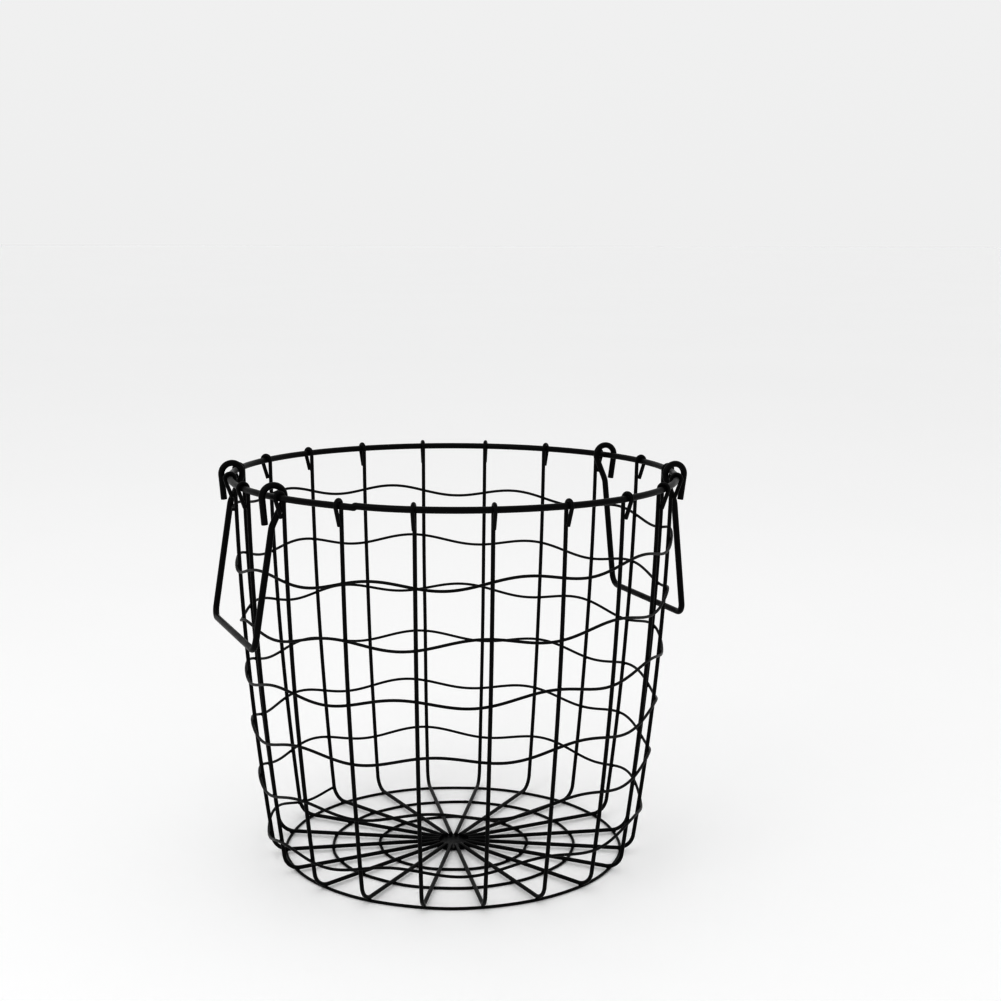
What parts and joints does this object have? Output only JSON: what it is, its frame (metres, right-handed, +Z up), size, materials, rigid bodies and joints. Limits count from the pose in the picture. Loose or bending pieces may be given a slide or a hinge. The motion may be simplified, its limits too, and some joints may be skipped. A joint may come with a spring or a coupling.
{
  "type": "wire basket",
  "caption": "Round tapered wire basket with a hooked rib cage, a wavy wire coiled round it and two swing handles that hang on the rim",
  "frame": {"origin": "on the floor under the centre of the basket, which is the centre of the rim and the floor rings", "axes": "+Z up; the two handles hang at -X and +X; the hinge lines run along Y"},
  "size_m": [0.2951, 0.2928, 0.2588],
  "materials": {
    "rim_wire": "semi-gloss powder coat",
    "rib_wire": "semi-gloss powder coat",
    "wavy_wire": "semi-gloss powder coat",
    "floor_wire": "semi-gloss powder coat",
    "handle_wire": "semi-gloss powder coat"
  },
  "bodies": {
    "basket": {"rim_ring": "rim_wire", "rib_01": "rib_wire", "rib_02": "rib_wire", "rib_03": "rib_wire", "rib_04": "rib_wire", "rib_05": "rib_wire", "rib_06": "rib_wire", "rib_07": "rib_wire", "rib_08": "rib_wire", "rib_09": "rib_wire", "rib_10": "rib_wire", "rib_11": "rib_wire", "rib_12": "rib_wire", "rib_13": "rib_wire", "rib_14": "rib_wire", "rib_15": "rib_wire", "rib_16": "rib_wire", "rib_17": "rib_wire", "rib_18": "rib_wire", "rib_19": "rib_wire", "rib_20": "rib_wire", "wave_turn_1": "wavy_wire", "wave_turn_2": "wavy_wire", "wave_turn_3": "wavy_wire", "wave_turn_4": "wavy_wire", "wave_turn_5": "wavy_wire", "wave_turn_6": "wavy_wire", "base_ring_inner": "floor_wire", "base_ring_middle": "floor_wire", "base_ring_outer": "floor_wire", "centre_disc": "floor_wire"},
    "left_handle": {"handle_left": "handle_wire"},
    "right_handle": {"handle_right": "handle_wire"}
  },
  "joints": [
    {"name": "left_handle_swing", "type": "hinge", "parent": "basket", "child": "left_handle", "pos_m": [-0.1335, 0, 0.25], "axis": [0, 1, 0], "range_deg": [0, 312]},
    {"name": "right_handle_swing", "type": "hinge", "parent": "basket", "child": "right_handle", "pos_m": [0.1335, 0, 0.25], "axis": [0, -1, 0], "range_deg": [0, 316]}
  ]
}
